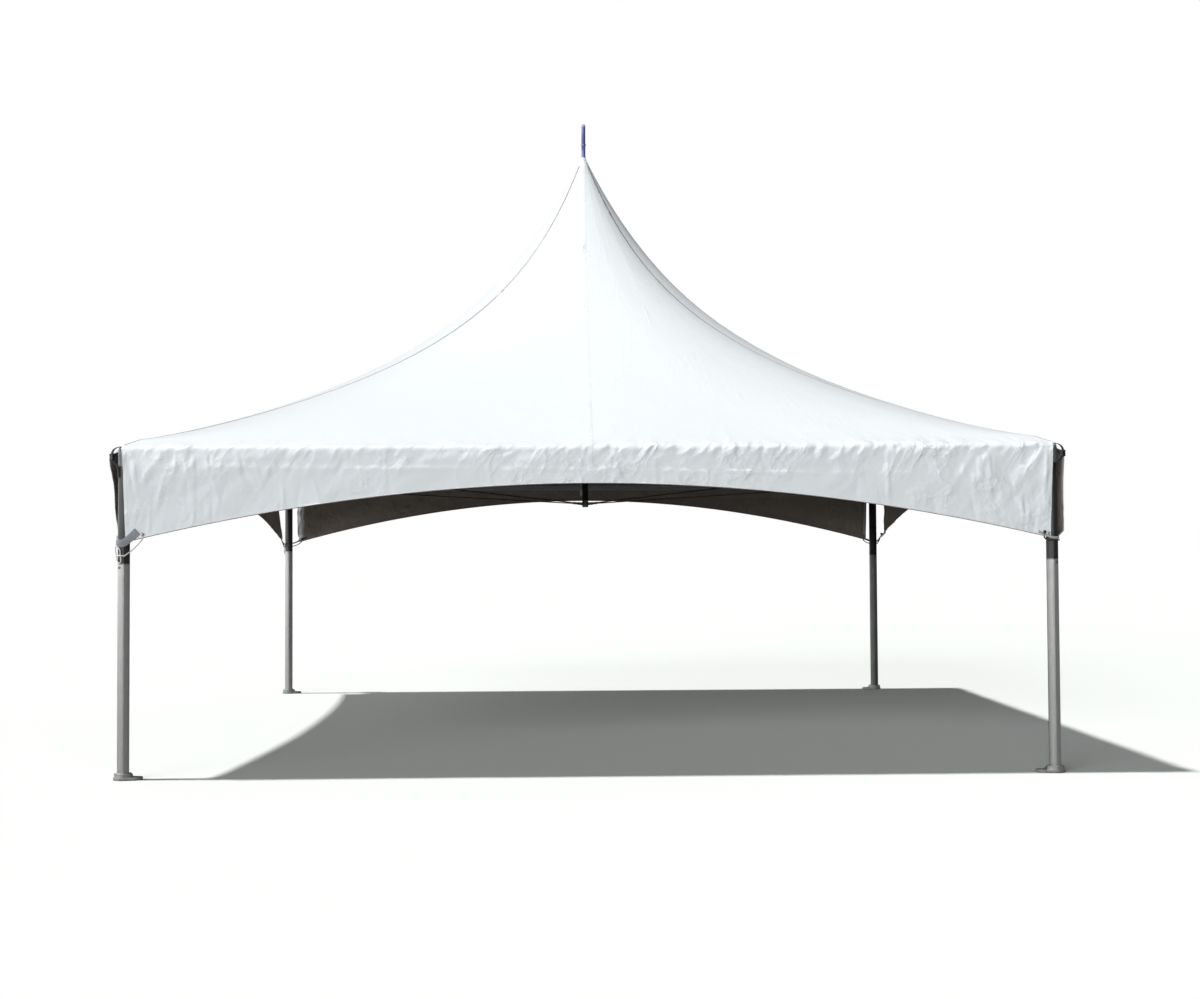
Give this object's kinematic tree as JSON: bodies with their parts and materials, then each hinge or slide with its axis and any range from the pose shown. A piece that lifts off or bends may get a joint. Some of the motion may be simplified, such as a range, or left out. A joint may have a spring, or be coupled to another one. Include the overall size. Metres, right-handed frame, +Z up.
{
  "type": "marquee tent",
  "caption": "Square high-peak frame marquee tent: round tubular legs on base plates, eave beams, a mast on crossed cables, and a white vinyl top with arched valances.",
  "frame": {"origin": "on the ground under the mast, midway between the four legs", "axes": "+Z up, the front valance faces -Y, +X to the right as seen from the front"},
  "size_m": [6.19, 6.1714, 5.035],
  "materials": {
    "white_vinyl": "smooth coated vinyl, satin, lightly puckered",
    "aluminium_tube": "mill finish, lightly scuffed",
    "cast_metal": "matt casting",
    "wire_rope": "weathered stranded steel",
    "blue_paint": "slate blue gloss, worn",
    "dark_webbing": "woven polyester",
    "grey_webbing": "woven polyester",
    "white_rope": "braided cord"
  },
  "bodies": {
    "root": {"leg_front_left": "aluminium_tube", "leg_front_right": "aluminium_tube", "leg_back_left": "aluminium_tube", "leg_back_right": "aluminium_tube", "base_plate_front_left": "cast_metal", "base_plate_front_right": "cast_metal", "base_plate_back_left": "cast_metal", "base_plate_back_right": "cast_metal", "corner_fitting_front_left": "cast_metal", "corner_fitting_front_right": "cast_metal", "corner_fitting_back_left": "cast_metal", "corner_fitting_back_right": "cast_metal", "eave_beam_front": "aluminium_tube", "eave_beam_right": "aluminium_tube", "eave_beam_back": "aluminium_tube", "eave_beam_left": "aluminium_tube", "mast_cable_front_left": "wire_rope", "mast_cable_front_right": "wire_rope", "mast_cable_back_left": "wire_rope", "mast_cable_back_right": "wire_rope", "mast_foot": "cast_metal", "mast": "aluminium_tube", "mast_head": "cast_metal", "mast_tip": "blue_paint", "roof_panel_front": "white_vinyl", "roof_panel_right": "white_vinyl", "roof_panel_back": "white_vinyl", "roof_panel_left": "white_vinyl", "valance_front": "white_vinyl", "valance_right": "white_vinyl", "valance_back": "white_vinyl", "valance_left": "white_vinyl", "corner_loop_front_left": "dark_webbing", "corner_loop_front_right": "dark_webbing", "corner_loop_back_left": "dark_webbing", "corner_loop_back_right": "dark_webbing", "corner_strap_front_left": "grey_webbing", "corner_strap_front_right": "grey_webbing", "corner_strap_back_left": "grey_webbing", "corner_strap_back_right": "grey_webbing", "corner_rope_front_left": "white_rope", "corner_rope_front_right": "white_rope", "corner_rope_back_left": "white_rope", "corner_rope_back_right": "white_rope"}
  },
  "joints": []
}
